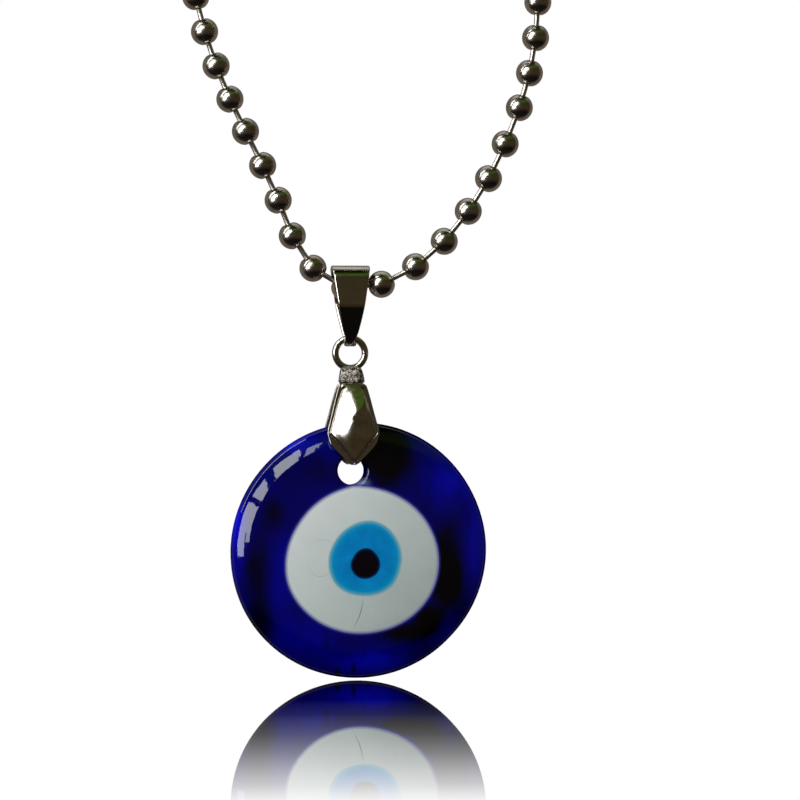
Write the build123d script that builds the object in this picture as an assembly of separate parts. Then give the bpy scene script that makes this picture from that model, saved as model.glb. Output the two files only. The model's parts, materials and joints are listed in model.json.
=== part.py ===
"""Glass evil eye pendant on a nickel-plated ball chain, hanging from a round peg.

Millimetres, +Z up. The eye faces -Y. The origin is the middle of the wound chain, on the axis of the
peg that carries it. The chain's two strands, the bail, the clip and the glass hang in the plane Y = 0.
"""
from build123d import *
from math import atan2, cos, degrees, hypot, pi, sin, sqrt
import os

# ---- chain ----
BEAD_R = 1.60            # size 6 ball chain: 3.2 mm beads
BEAD_WALL = 0.25
BEAD_HOLE_R = 0.50
PIN_R = 0.32
PIN_HEAD_R = 0.60
PIN_HEAD_IN = 0.63       # a pin head's centre, from the centre of its bead
PITCH_LOADED = 4.53      # bead to bead, near the pendant
PITCH_SLACK = 4.20       # bead to bead, where the pins have slid further into their beads
PITCH_AT_BAIL = 4.37
SLACK_ABOVE_Z = -41.0
PITCH_WOUND = 4.45
LEFT_IN_VIEW = 9         # beads with a node of their own on each strand
RIGHT_IN_VIEW = 10
LEFT_MIDDLE_FROM = 5     # the lower level of the chain ends below this bead
RIGHT_MIDDLE_FROM = 6

# the line of each strand as (x, z), from the bead inside the bail up to the wound turns
BAIL_BEAD = (-1.95, -58.14)
LEFT_STRAND = [BAIL_BEAD, (-5.72, -55.88), (-9.80, -47.80), (-15.40, -35.92), (-19.35, -24.20),
               (-20.65, -12.0), (-20.90, 0.0)]
RIGHT_STRAND = [BAIL_BEAD, (2.37, -57.79), (6.47, -55.66), (12.71, -49.06), (18.50, -37.00), (20.62, -24.73),
                (20.85, -12.0), (20.90, 0.0)]

# ---- wound turns ----
STRAND_SPREAD = 20.90    # half the distance between the strands where they meet the turns
TURNS = 2.5
TURN_STEP = 3.9          # from one turn to the next along the peg
WIND_DEPTH = TURNS * TURN_STEP
WIND_R = (STRAND_SPREAD**2 - (WIND_DEPTH / 2)**2) ** 0.5
WIND_SLANT = atan2(WIND_DEPTH / 2, WIND_R)   # the peg turns this far from +Y, so both strands leave at Y = 0
CLASP_TURN = 0.25        # the clasp sits this many turns along the winding, at its top

# ---- clasp: a sprung channel over the two end beads ----
CLASP_WALL = 0.30
CLASP_BEAD_GAP = 0.06
CLASP_LIP = 0.90         # how far its sides reach inwards past the beads' centres
CLASP_SLOT = 1.00        # slot in each end wall, for the chain's pin

# ---- bail: a tapered strip folded over the chain and closed round the ring ----
PENDANT_X = -1.30
BAIL_THICKNESS = 0.35
BAIL_TOP_R = 1.55        # inner radii of the fold, the belly and the eye at the bottom
BAIL_TOP_Z = -57.35
BAIL_BELLY_R = 1.85
BAIL_BELLY_Z = -60.00
BAIL_EYE_R = 0.62
BAIL_OUTLINE = [(2.30, -55.0), (2.30, -55.9), (2.16, -56.4), (1.48, -60.8), (0.80, -63.9), (0.62, -65.3)]
BAIL_SLIT = 0.06         # gap between the strip's two ends, under the ring

# ---- ring and clip ----
RING_Z = -65.86
RING_R = 1.74
RING_WIRE_R = 0.40
RING_GAP = 0.03
CLIP_X = -1.15
NECK_TOP_Z = -67.45
NECK_TOP_W = 1.18        # half widths
NECK_LOW_W = 1.58
NECK_TOP_DEPTH = 0.75    # half depths
NECK_DEPTH = 1.62
HINGE_Y = 1.40           # each leaf springs from a line this far from the middle
HINGE_Z = -69.75
KNUCKLE_R = 0.40
KNUCKLE_GAP = 0.05
LEAF_TIP_Y = 2.88
LEAF_TIP_Z = -78.94
LEAF_THICKNESS = 0.38
LEAF_KITE = [(1.55, 0.0), (2.97, 5.65), (0.30, 9.30)]   # half width, distance down the leaf
DOME_KITE = [(1.05, 0.55), (2.62, 5.60), (0.28, 8.85)]
RIDGE_KITE = [(0.18, 2.00), (0.34, 5.40), (0.10, 7.00)]
HOLLOW_KITE = [(0.65, 0.55), (2.22, 5.60), (0.10, 7.15)]         # the space inside the puffed shell
HOLLOW_RIDGE_KITE = [(0.05, 2.20), (0.12, 5.20), (0.04, 6.20)]
DOME_HEIGHT = 1.20
DOME_WALL = 0.40
PRONG_R = 0.45
PRONG_Z = -78.45
PRONG_END = 0.15         # the two prongs stop this far either side of the middle

# ---- glass ----
GLASS_R = 15.0
GLASS_X = -0.41
GLASS_Z = -88.89
GLASS_FRONT = -2.10
GLASS_BACK = 1.80
GLASS_SHOULDER = (13.1, -1.50)       # where the domed face turns into the rim: radius, y
GLASS_BACK_EDGE = 13.3
HOLE_R = 1.65
HOLE_X = -1.25
HOLE_Z = -79.58
WHITE = (0.27, -90.02, 8.90)         # x, z, radius of each fused spot
WHITE_POINT = (-0.30, -81.75, 0.35)  # the white is drawn up to a soft point beside the hole
LIGHT_BLUE = (0.54, -89.88, 4.28)
BLACK = (0.64, -90.46, 1.69)
WHITE_FLOOR = -0.90                  # y of the bottom of each layer
LIGHT_BLUE_FLOOR = -1.30
BLACK_FLOOR = -1.60


def write(name, *solids):
    """One STEP for a node: a single solid, or a group of separate ones."""
    shape = solids[0] if len(solids) == 1 else Compound(children=list(solids))
    export_step(shape, f"parts/{name}.step")


# ---- chain: where the beads are ----

def strand_edge(points):
    """A strand's line, which rises into the wound turns."""
    return Spline([Vector(x, 0, z) for x, z in points])


LEFT_EDGE = strand_edge(LEFT_STRAND)
RIGHT_EDGE = strand_edge(RIGHT_STRAND)
TURN_LENGTH = hypot(2 * pi * WIND_R, TURN_STEP)
WOUND_LENGTH = TURNS * TURN_LENGTH


def wound_point(distance):
    """A point of the winding, from the top of the left strand over the peg and round to the right one."""
    turn = distance / TURN_LENGTH
    angle = pi - 2 * pi * turn
    x = WIND_R * cos(angle)
    y = turn * TURN_STEP - WIND_DEPTH / 2
    slanted_x = x * cos(WIND_SLANT) + y * sin(WIND_SLANT)
    slanted_y = y * cos(WIND_SLANT) - x * sin(WIND_SLANT)
    return Vector(slanted_x, slanted_y, WIND_R * sin(angle))


def chain_point(distance):
    """A point of the closed chain, from the bail's bead up the left strand and back down the right one."""
    if distance <= LEFT_EDGE.length:
        return LEFT_EDGE.position_at(distance, position_mode=PositionMode.LENGTH)
    distance -= LEFT_EDGE.length
    if distance <= WOUND_LENGTH:
        return wound_point(distance)
    distance = RIGHT_EDGE.length - (distance - WOUND_LENGTH)
    return RIGHT_EDGE.position_at(distance, position_mode=PositionMode.LENGTH)


def places_in_view(edge, count):
    """Distances up a strand of its first beads."""
    places = [PITCH_AT_BAIL]
    while len(places) < count:
        height = edge.position_at(places[-1], position_mode=PositionMode.LENGTH).Z
        places.append(places[-1] + (PITCH_LOADED if height < SLACK_ABOVE_Z else PITCH_SLACK))
    return places


LOOP_LENGTH = LEFT_EDGE.length + WOUND_LENGTH + RIGHT_EDGE.length
left_places = places_in_view(LEFT_EDGE, LEFT_IN_VIEW)
right_places = [LOOP_LENGTH - d for d in reversed(places_in_view(RIGHT_EDGE, RIGHT_IN_VIEW))]
hidden_length = right_places[0] - left_places[-1]
hidden_steps = round(hidden_length / PITCH_WOUND)
hidden_places = [left_places[-1] + hidden_length * i / hidden_steps for i in range(1, hidden_steps)]
beads = [chain_point(d) for d in [0.0, *left_places, *hidden_places, *right_places]]
bead_count = len(beads)

# the closed chain's beads by number: 0 in the bail, then up the left strand
first_hidden = LEFT_IN_VIEW + 1
first_right = bead_count - RIGHT_IN_VIEW
hidden_z = {i: beads[i].Z for i in range(first_hidden, first_right)}
left_top = next(i for i in hidden_z if beads[i].Z > -0.5)
right_top = next(i for i in reversed(hidden_z) if beads[i].Z > -0.5)
clasp_place = LEFT_EDGE.length + CLASP_TURN * TURN_LENGTH
bead_places = [0.0, *left_places, *hidden_places, *right_places]
pin_places = [(a + b) / 2 for a, b in zip(bead_places, bead_places[1:])]
clasp_bead = min(range(len(pin_places)), key=lambda i: abs(pin_places[i] - clasp_place))


# ---- chain: its pieces ----

def aimed(solid, start, towards):
    """Puts a solid made along +Z at a point, pointing towards another."""
    return Plane(origin=start, z_dir=towards - start) * solid


def bead(i):
    """A hollow bead, with a hole facing each neighbour's pin."""
    centre = beads[i]
    before = (beads[i - 1] - centre).normalized()
    after = (beads[(i + 1) % bead_count] - centre).normalized()
    drill = Cylinder(BEAD_HOLE_R, 2 * BEAD_R, align=(Align.CENTER, Align.CENTER, Align.MIN))
    shell = Sphere(BEAD_R) - Sphere(BEAD_R - BEAD_WALL)
    shell -= drill
    shell -= Rot(0, before.get_angle(after), 0) * drill
    bend = before.cross(after)
    return (Plane(origin=centre, x_dir=bend.cross(before), z_dir=before) * shell).solid()


def pin(i):
    """The double-headed pin between bead i and the next."""
    start = beads[i]
    end = beads[(i + 1) % bead_count]
    span = (end - start).length
    shank = Cylinder(PIN_R, span - 2 * PIN_HEAD_IN, align=(Align.CENTER, Align.CENTER, Align.MIN))
    body = Pos(0, 0, PIN_HEAD_IN) * (shank + Sphere(PIN_HEAD_R))
    body += Pos(0, 0, span - PIN_HEAD_IN) * Sphere(PIN_HEAD_R)
    return aimed(body, start, end).solid()


def clasp():
    """The connector: a channel with half-round roof, open towards the peg, over the two end beads."""
    start = beads[clasp_bead]
    end = beads[clasp_bead + 1]
    along = (end - start).normalized()
    peg_axis = Vector(sin(WIND_SLANT), cos(WIND_SLANT), 0)
    inner_r = BEAD_R + CLASP_BEAD_GAP
    inner_length = (end - start).length + 2 * inner_r
    outer_r = inner_r + CLASP_WALL
    outer_length = inner_length + 2 * CLASP_WALL

    def channel(r, length, depth):
        roof = Rot(0, 90, 0) * Cylinder(r, length)
        sides = Pos(0, 0, -depth / 2) * Box(length, 2 * r, depth)
        over = Pos(0, 0, r) * Box(length, 4 * r, 2 * r)
        return (roof & over) + sides

    shell = channel(outer_r, outer_length, CLASP_LIP) - channel(inner_r, inner_length, CLASP_LIP + 1)
    shell -= Pos(0, 0, -CLASP_LIP / 2) * Box(outer_length + 1, CLASP_SLOT, CLASP_LIP + 2 * inner_r)
    outwards = peg_axis.cross(along)
    if outwards.Z < 0:
        outwards = -outwards
    middle = (start + end) / 2
    return (Plane(origin=middle, x_dir=along, z_dir=outwards) * shell).solid()


# ---- bail, ring and clip ----

def bail():
    """The folded strip: a closed band in side view, cut to the taper of the strip in front view."""
    eye_z = RING_Z + RING_R

    def loop(extra):
        rings = [(BAIL_TOP_Z, BAIL_TOP_R), (BAIL_BELLY_Z, BAIL_BELLY_R), (eye_z, BAIL_EYE_R)]
        circles = [Pos(0, z) * Circle(r + extra) for z, r in rings]
        return make_hull([e for c in circles for e in c.edges()])

    band = Plane.YZ * (loop(BAIL_THICKNESS) - loop(0))
    band = extrude(band, amount=4, both=True)
    left_side = [(-x, z) for x, z in reversed(BAIL_OUTLINE)]
    outline = extrude(Plane.XZ * Polygon(*BAIL_OUTLINE, *left_side, align=None), amount=5, both=True)
    slit = Pos(0, 0, eye_z - 1) * Box(BAIL_SLIT, 4, 2 * (1 - BAIL_EYE_R / 2))
    return (Pos(PENDANT_X, 0, 0) * ((band & outline) - slit)).solid()


def ring():
    """The wire ring that the bail carries."""
    return (Pos(PENDANT_X, 0, RING_Z) * Rot(90, 0, 0) * Torus(RING_R, RING_WIRE_R)).solid()


def neck():
    """The cast neck under the ring, from which the two leaves spring."""
    low_z = HINGE_Z + KNUCKLE_R + KNUCKLE_GAP
    outline = [(NECK_TOP_W, NECK_TOP_Z), (-NECK_TOP_W, NECK_TOP_Z), (-NECK_LOW_W, low_z), (NECK_LOW_W, low_z)]
    block = extrude(Plane.XZ * Polygon(*outline, align=None), amount=NECK_DEPTH, both=True)
    side = [(-NECK_TOP_DEPTH, NECK_TOP_Z), (NECK_TOP_DEPTH, NECK_TOP_Z)]
    side += [(NECK_DEPTH, low_z), (-NECK_DEPTH, low_z)]
    block &= extrude(Plane.YZ * Polygon(*side, align=None), amount=4, both=True)
    placed = Pos(CLIP_X, 0, 0) * block
    seat = Pos(PENDANT_X, 0, RING_Z) * Rot(90, 0, 0) * Torus(RING_R, RING_WIRE_R + RING_GAP)
    inside = Pos(PENDANT_X, 0, RING_Z) * Rot(90, 0, 0) * Cylinder(RING_R, 4)
    return (placed - seat - inside).solid()


def kite(corners):
    """A kite outline in the leaf's own plane: x across, y up the leaf from its hinge line."""
    down = [(x, -d) for x, d in corners]
    up = [(-x, -d) for x, d in reversed(corners)]
    return Polygon(*down, *up, align=None)


def leaf(side):
    """One leaf of the clip, side -1 in front and +1 behind: flange, puffed shell, knuckle and prong."""
    slope = atan2(LEAF_TIP_Y - HINGE_Y, HINGE_Z - LEAF_TIP_Z)
    down = Vector(0, side * sin(slope), -cos(slope))
    outwards = Vector(0, side * cos(slope), sin(slope))
    plane = Plane(origin=(CLIP_X, side * HINGE_Y, HINGE_Z), x_dir=down.cross(outwards) * -1, z_dir=outwards)
    half = LEAF_THICKNESS / 2

    flange = extrude(Pos(0, 0, -half) * kite(LEAF_KITE), LEAF_THICKNESS, dir=(0, 0, 1))
    base = kite(DOME_KITE)
    crown = Pos(0, 0, half + DOME_HEIGHT) * kite(RIDGE_KITE)
    shell = flange + loft([base, crown], ruled=True)
    hollow_base = Pos(0, 0, -half) * kite(HOLLOW_KITE)
    hollow_crown = Pos(0, 0, half + DOME_HEIGHT - DOME_WALL) * kite(HOLLOW_RIDGE_KITE)
    shell -= loft([hollow_base, hollow_crown], ruled=True)
    knuckle = Rot(0, 90, 0) * Cylinder(KNUCKLE_R, 2 * LEAF_KITE[0][0])
    placed = plane * (shell + knuckle)

    length = LEAF_TIP_Y - PRONG_END
    prong = Pos(CLIP_X, side * (PRONG_END + length / 2), PRONG_Z) * Rot(90, 0, 0) * Cylinder(PRONG_R, length)
    return (placed + prong).solid()


# ---- glass ----

def drill_y(x, z, r, front, back):
    """A round rod along Y."""
    return Pos(x, (front + back) / 2, z) * Rot(90, 0, 0) * Cylinder(r, back - front)


def glass_blank():
    """The fused disc before its colours are told apart: domed face, flat back, rounded rim, one hole."""
    top = (0, GLASS_FRONT)
    back_edge = (GLASS_BACK_EDGE, GLASS_BACK)
    shoulder_r, shoulder_y = GLASS_SHOULDER
    rise = shoulder_y - GLASS_FRONT
    crown_r = (shoulder_r**2 + rise**2) / (2 * rise)    # the face is part of a ball
    half_way = shoulder_r / 2
    crown_mid = (half_way, GLASS_FRONT + crown_r - sqrt(crown_r**2 - half_way**2))
    profile = Polyline((0, GLASS_BACK), top) + ThreePointArc(top, crown_mid, GLASS_SHOULDER)
    profile += ThreePointArc(GLASS_SHOULDER, (GLASS_R, 0.1), back_edge)
    profile += Line(back_edge, (0, GLASS_BACK))
    disc = Pos(GLASS_X, 0, GLASS_Z) * revolve(make_face(profile), Axis.Y)
    return disc - drill_y(HOLE_X, HOLE_Z, HOLE_R, -5, 5)


def white_prism():
    """The white spot with its soft point, from in front of the face down to the bottom of the white."""
    x, z, r = WHITE
    tip_x, tip_z, tip_r = WHITE_POINT
    circles = [Pos(x, z) * Circle(r), Pos(tip_x, tip_z) * Circle(tip_r)]
    outline = make_hull([e for c in circles for e in c.edges()])
    return extrude(Plane.XZ * outline, amount=5) - Pos(0, WHITE_FLOOR + 10, z) * Box(60, 20, 60)


def write_glass():
    """The four colours, each a solid that fits the pocket in the one behind it."""
    blank = glass_blank()
    white = white_prism()
    light_blue = drill_y(*LIGHT_BLUE, -5, LIGHT_BLUE_FLOOR)
    black = drill_y(*BLACK, -5, BLACK_FLOOR)
    write("cobalt_glass", (blank - white).solid())
    write("white_glass", ((blank & white) - light_blue).solid())
    write("light_blue_glass", ((blank & light_blue) - black).solid())
    write("black_glass", (blank & black).solid())


# ---- write every node ----

os.makedirs("parts", exist_ok=True)

write("bail_bead", bead(0))
for number in range(1, LEFT_IN_VIEW + 1):
    write(f"left_bead_{number:02d}", bead(number))
    write(f"left_pin_{number:02d}", pin(number - 1))
write(f"left_pin_{LEFT_IN_VIEW + 1:02d}", pin(LEFT_IN_VIEW))
for number in range(1, RIGHT_IN_VIEW + 1):
    write(f"right_bead_{number:02d}", bead(bead_count - number))
    write(f"right_pin_{number:02d}", pin(bead_count - number))
write(f"right_pin_{RIGHT_IN_VIEW + 1:02d}", pin(first_right - 1))

upper_beads = [*range(first_hidden, left_top), *range(right_top + 1, first_right)]
upper_pins = [*range(first_hidden, left_top), *range(right_top, first_right - 1)]
write("upper_strand_beads", *[bead(i) for i in upper_beads])
write("upper_strand_pins", *[pin(i) for i in upper_pins])
wound = range(left_top, right_top + 1)
end_beads = (clasp_bead, clasp_bead + 1)
write("wound_beads", *[bead(i) for i in wound if i not in end_beads])
write("wound_pins", *[pin(i) for i in range(left_top, right_top) if i != clasp_bead])
write("clasp_end_beads", *[bead(i) for i in end_beads])
write("clasp", clasp())

write("bail", bail())
write("ring", ring())
write("clip_neck", neck())
write("clip_front_leaf", leaf(-1))
write("clip_back_leaf", leaf(1))
write_glass()


def pivot(upper, lower):
    """Where a pin turns in the lower hole of the bead above it."""
    return beads[upper] + (beads[lower] - beads[upper]).normalized() * (BEAD_R - BEAD_WALL / 2)


def report_hinge(name, left, right):
    """Prints a chain hinge: the line through the pivots of both strands."""
    axis = (right - left).normalized()
    middle = (left + right) / 2
    print(name, "at", [round(v, 4) for v in middle], "axis", [round(v, 5) for v in axis])


print("beads", bead_count, "length", round(LOOP_LENGTH, 1), "wound radius", round(WIND_R, 3))
print("slant", round(degrees(WIND_SLANT), 2), "clasp beads", end_beads)
print("wound from bead", left_top, "to", right_top)
report_hinge("upper", pivot(left_top, left_top - 1), pivot(right_top, right_top + 1))
report_hinge("middle", pivot(first_hidden, first_hidden - 1), pivot(first_right - 1, first_right))
report_hinge("lower", pivot(LEFT_MIDDLE_FROM, LEFT_MIDDLE_FROM - 1),
             pivot(bead_count - RIGHT_MIDDLE_FROM, bead_count - RIGHT_MIDDLE_FROM + 1))
clasp_axis = Vector(sin(WIND_SLANT), cos(WIND_SLANT), 0)
print("clasp bead", [round(v, 4) for v in beads[clasp_bead]], "axis", [round(v, 5) for v in clasp_axis])
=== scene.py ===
"""The looks of the evil eye pendant on its ball chain.

Every visible piece is rebuilt here on its CAD node: turned beads and pins, the folded bail, the cast clip
and the four colours of fused glass. Sizes are in millimetres until a mesh is made.
"""
import json
from math import atan2, cos, degrees, dist, exp, hypot, log, pi, radians, sin, sqrt, tan

import bpy
import numpy as np
from mathutils import Matrix, Vector, noise
from mathutils.geometry import delaunay_2d_cdt

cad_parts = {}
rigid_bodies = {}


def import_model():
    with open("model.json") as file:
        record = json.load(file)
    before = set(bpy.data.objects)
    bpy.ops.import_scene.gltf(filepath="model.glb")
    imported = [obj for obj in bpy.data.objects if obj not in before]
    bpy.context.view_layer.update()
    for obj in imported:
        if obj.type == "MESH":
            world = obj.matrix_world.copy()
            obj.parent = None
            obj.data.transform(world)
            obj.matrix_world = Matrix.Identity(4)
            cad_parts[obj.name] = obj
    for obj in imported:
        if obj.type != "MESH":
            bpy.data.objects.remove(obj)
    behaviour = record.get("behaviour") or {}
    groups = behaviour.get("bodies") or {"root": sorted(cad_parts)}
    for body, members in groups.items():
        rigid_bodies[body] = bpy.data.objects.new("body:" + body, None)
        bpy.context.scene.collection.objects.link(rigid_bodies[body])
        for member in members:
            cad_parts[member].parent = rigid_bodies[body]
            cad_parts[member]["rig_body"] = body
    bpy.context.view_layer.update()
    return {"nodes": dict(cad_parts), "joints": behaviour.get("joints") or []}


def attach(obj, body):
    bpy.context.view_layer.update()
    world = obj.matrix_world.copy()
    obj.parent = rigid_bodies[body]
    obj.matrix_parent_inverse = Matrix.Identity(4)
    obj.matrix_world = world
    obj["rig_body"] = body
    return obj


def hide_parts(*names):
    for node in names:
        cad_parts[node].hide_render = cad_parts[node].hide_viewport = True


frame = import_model()
nodes = frame["nodes"]
MM = 0.001

# ---- chain ----
BEAD_R = 1.60
PIN_R = 0.32
PIN_HEAD_R = 0.60
PIN_HEAD_IN = 0.63
LEFT_COUNT = 9
RIGHT_COUNT = 10
# radius and height of the lip turned in round each hole
BEAD_MOUTH = [(0.55, 1.20), (0.51, 1.28), (0.48, 1.36), (0.485, 1.42), (0.52, 1.455), (0.58, 1.463),
              (0.66, 1.445), (0.76, 1.402)]
LEFT_SAG = 0.30         # how much lower the left strand hangs than the even chain of the frame
RIGHT_SPREAD = 0.36     # how much wider the right strand hangs
STRAND_REACH = 20.84    # the farthest that a bead's middle may be moved to the right

# ---- bail ----
PENDANT_X = -1.30
BAIL_THICKNESS = 0.35
BAIL_CIRCLES = [(-57.50, 1.55), (-60.00, 1.85), (-64.12, 0.62)]    # z and inner radius of fold, belly and eye
BAIL_WIDTHS = [(-55.4, 2.28), (-56.0, 2.25), (-56.6, 2.13), (-60.8, 1.47), (-63.2, 0.95), (-64.1, 0.66),
               (-65.3, 0.36)]    # z and half width
BAIL_SLIT = 0.06
BAIL_TIP = 0.34         # length of the rounding at each end of the strip
BAIL_OFFSET = 0.30      # how far its front end leans left and its back end right

# ---- ring and clip ----
RING_Z = -65.86
RING_R = 1.74
RING_WIRE_R = 0.40
CLIP_X = -1.15
HINGE_Y = 1.40
HINGE_Z = -69.75
LEAF_TIP_Y = 2.88
LEAF_TIP_Z = -78.94
LEAF_THICKNESS = 0.38
PRONG_R = 0.45
PRONG_Z = -78.45
PRONG_END = 0.15
# distance down the leaf and half width there
LEAF_WIDTHS = [(-0.35, 1.15), (-0.2, 1.42), (0.1, 1.62), (1.5, 2.02), (3.0, 2.39), (4.6, 2.80), (5.3, 2.94),
               (5.7, 2.96), (6.1, 2.86), (7.0, 2.50), (8.7, 0.92), (9.05, 0.55), (9.25, 0.24)]
ROLL_PROFILE = [(0.0, -1.34), (0.26, -1.34), (0.36, -1.28), (0.39, -1.15), (0.39, 1.15), (0.36, 1.28),
                (0.26, 1.34), (0.0, 1.34)]
# z, half width, half depth, how far the section leans to the left
NECK_SECTIONS = [
    (-67.30, 0.30, 0.20, 0.10), (-67.36, 0.78, 0.48, 0.10), (-67.50, 1.12, 0.72, 0.08),
    (-67.75, 1.26, 0.95, 0.05), (-68.10, 1.34, 1.16, 0.02), (-68.50, 1.43, 1.36, 0.0),
    (-68.90, 1.50, 1.52, 0.0), (-69.20, 1.53, 1.59, 0.0), (-69.29, 1.46, 1.50, 0.0),
    (-69.36, 1.34, 0.95, 0.0), (-69.60, 1.28, 0.85, 0.0), (-69.90, 1.10, 0.80, 0.0)]

# ---- glass ----
DISC = (-0.28, -88.89, 15.0)    # x and z of the middle, and radius
HOLE = (-1.25, -79.58, 1.65)    # the same of the hole
FACE_Y = -2.10
BACK_Y = 1.80
BACK_EDGE_R = 13.14     # where the flat back starts to round over to the rim
HOLE_ROUNDING = 0.50
WHITE_FLOOR = -0.90     # y of the bottom of each colour's pocket
LIGHT_BLUE_FLOOR = -1.30
BLACK_FLOOR = -1.60
RIM_SAMPLES = 288
SPOT_SAMPLES = 192
HOLE_SAMPLES = 72
# the lean of the domed face, in degrees, at distances from its middle
FACE_LEAN = [(0.0, 0.0), (6.0, 1.1), (10.4, 2.6), (11.6, 8.0), (12.3, 14.5), (12.6, 17.0), (13.2, 23.0),
             (13.65, 29.0), (14.2, 34.0), (14.5, 39.0), (14.7, 50.0)]
# outlines: angle in degrees from +X towards +Z, and radius
DISC_OUTLINE = [(0, 15.03), (30, 14.98), (60, 15.0), (90, 14.93), (135, 14.84), (180, 15.04), (218, 15.2),
                (270, 14.98), (315, 14.86), (335, 14.95)]
WHITE_OUTLINE = [(0, 8.92), (30, 8.80), (62, 8.66), (78, 8.67), (90, 8.78), (98, 8.86), (106, 8.80),
                 (122, 8.74), (150, 8.78), (180, 9.10), (198, 9.21), (225, 8.92), (255, 8.57), (285, 8.45),
                 (315, 8.69), (335, 8.87)]
WHITE_MIDDLE = (0.02, -90.14)
IRIS_OUTLINE = [(0, 4.10), (30, 4.18), (75, 4.39), (120, 4.07), (150, 4.01), (180, 4.18), (222, 4.42),
                (265, 4.16), (315, 4.24), (345, 4.07)]
IRIS_MIDDLE = (0.31, -89.90)
PUPIL_OUTLINE = [(0, 1.55), (42, 1.49), (78, 1.65), (110, 1.62), (150, 1.55), (200, 1.75), (245, 1.78),
                 (300, 1.67), (335, 1.62)]
PUPIL_MIDDLE = (0.36, -90.37)

# ---- view and light ----
VIEW_AZIMUTH = 6.0            # degrees that the camera stands to the left of straight ahead
VIEW_DISTANCE = 600.0
VIEW_MIDDLE = (4.56, 0.0, -71.34)
VIEW_WIDTH = 93.70
FLOOR_Z = -104.02


# ---- small helpers ----

def interpolated(knots, x, period=None):
    """A smooth curve through given (x, value) knots."""
    xs = [k[0] for k in knots]
    ys = [k[1] for k in knots]
    if period:
        xs = [a - period for a in xs] + xs + [a + period for a in xs]
        ys = ys * 3
        x = x % period
    i = int(np.searchsorted(xs, x)) - 1
    i = min(max(i, 0), len(xs) - 2)
    before = ys[max(i - 1, 0)]
    after = ys[min(i + 2, len(ys) - 1)]
    span = xs[i + 1] - xs[i]
    t = min(max((x - xs[i]) / span, 0.0), 1.0)
    start_slope = (ys[i + 1] - before) / (xs[i + 1] - xs[max(i - 1, 0)]) * span
    end_slope = (after - ys[i]) / (xs[min(i + 2, len(xs) - 1)] - xs[i]) * span
    t2 = t * t
    t3 = t2 * t
    return ((2 * t3 - 3 * t2 + 1) * ys[i] + (t3 - 2 * t2 + t) * start_slope
            + (3 * t2 - 2 * t3) * ys[i + 1] + (t3 - t2) * end_slope)


def smoothstep(x, low, high):
    t = min(max((x - low) / (high - low), 0.0), 1.0)
    return t * t * (3 - 2 * t)


def placed_object(name, data):
    obj = bpy.data.objects.new(name, data)
    bpy.context.scene.collection.objects.link(obj)
    return obj


def piece(name, points, faces, material, node, sharp_edges=(), attributes=None):
    """A smooth-shaded mesh object that stands for a CAD node and rides on its body."""
    mesh = bpy.data.meshes.new(name)
    mesh.from_pydata([(x * MM, y * MM, z * MM) for x, y, z in points], [], faces)
    mesh.update()
    mesh.polygons.foreach_set("use_smooth", [True] * len(mesh.polygons))
    if sharp_edges:
        wanted = {frozenset(e) for e in sharp_edges}
        sharp = [frozenset(e.vertices) in wanted for e in mesh.edges]
        mesh.attributes.new("sharp_edge", "BOOLEAN", "EDGE").data.foreach_set("value", sharp)
    for key, values in (attributes or {}).items():
        mesh.attributes.new(key, "FLOAT", "POINT").data.foreach_set("value", values)
    mesh.materials.append(material)
    obj = placed_object(name, mesh)
    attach(obj, nodes[node]["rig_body"])
    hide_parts(node)
    return obj


def rows_to_faces(rows, count, start=0, closed=True):
    """Quads between neighbouring rows of equal length."""
    faces = []
    for r in range(rows - 1):
        for c in range(count if closed else count - 1):
            d = (c + 1) % count
            a = start + r * count
            b = a + count
            faces.append((a + c, a + d, b + d, b + c))
    return faces


def strip(ring_a, ring_b):
    """Quads between two closed rings of point numbers."""
    size = len(ring_a)
    return [(ring_a[k], ring_a[(k + 1) % size], ring_b[(k + 1) % size], ring_b[k]) for k in range(size)]


def lathe(profile, segments):
    """Turns (radius, height) pairs round Z. Each end is closed with a fan where it reaches the axis."""
    points = []
    faces = []
    rings = [p for p in profile if p[0] > 1e-6]
    for r, z in rings:
        for s in range(segments):
            angle = 2 * pi * s / segments
            points.append(Vector((r * cos(angle), r * sin(angle), z)))
    faces += rows_to_faces(len(rings), segments)
    if profile[0][0] <= 1e-6:
        points.append(Vector((0, 0, profile[0][1])))
        tip = len(points) - 1
        faces += [(tip, (s + 1) % segments, s) for s in range(segments)]
    if profile[-1][0] <= 1e-6:
        points.append(Vector((0, 0, profile[-1][1])))
        tip = len(points) - 1
        base = (len(rings) - 1) * segments
        faces += [(tip, base + s, base + (s + 1) % segments) for s in range(segments)]
    return points, faces


# ---- materials ----

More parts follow.
